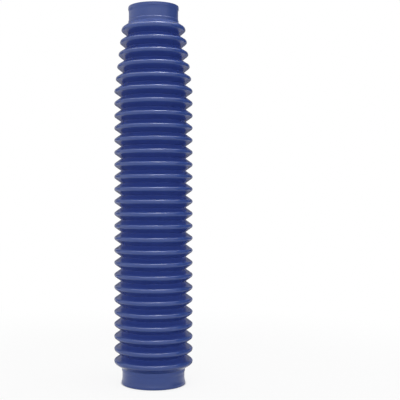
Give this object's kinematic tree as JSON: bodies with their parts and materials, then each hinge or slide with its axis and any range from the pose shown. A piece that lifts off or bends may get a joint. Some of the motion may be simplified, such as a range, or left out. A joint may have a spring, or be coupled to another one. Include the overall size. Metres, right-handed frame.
{
  "type": "fork gaiter",
  "caption": "Tapered bellows sleeve of blue rubber for a motorbike fork leg, open at both ends, with a narrow upper cuff and a wide lower cuff.",
  "frame": {"origin": "centre of the lower cuff's end face, on the gaiter's axis", "axes": "+Z along the gaiter's axis, from the wide lower cuff towards the narrow upper cuff"},
  "size_m": [0.078, 0.078, 0.3754],
  "materials": {
    "blue_rubber": "satin moulded rubber, mid blue"
  },
  "bodies": {
    "root": {"gaiter": "blue_rubber"}
  },
  "joints": []
}
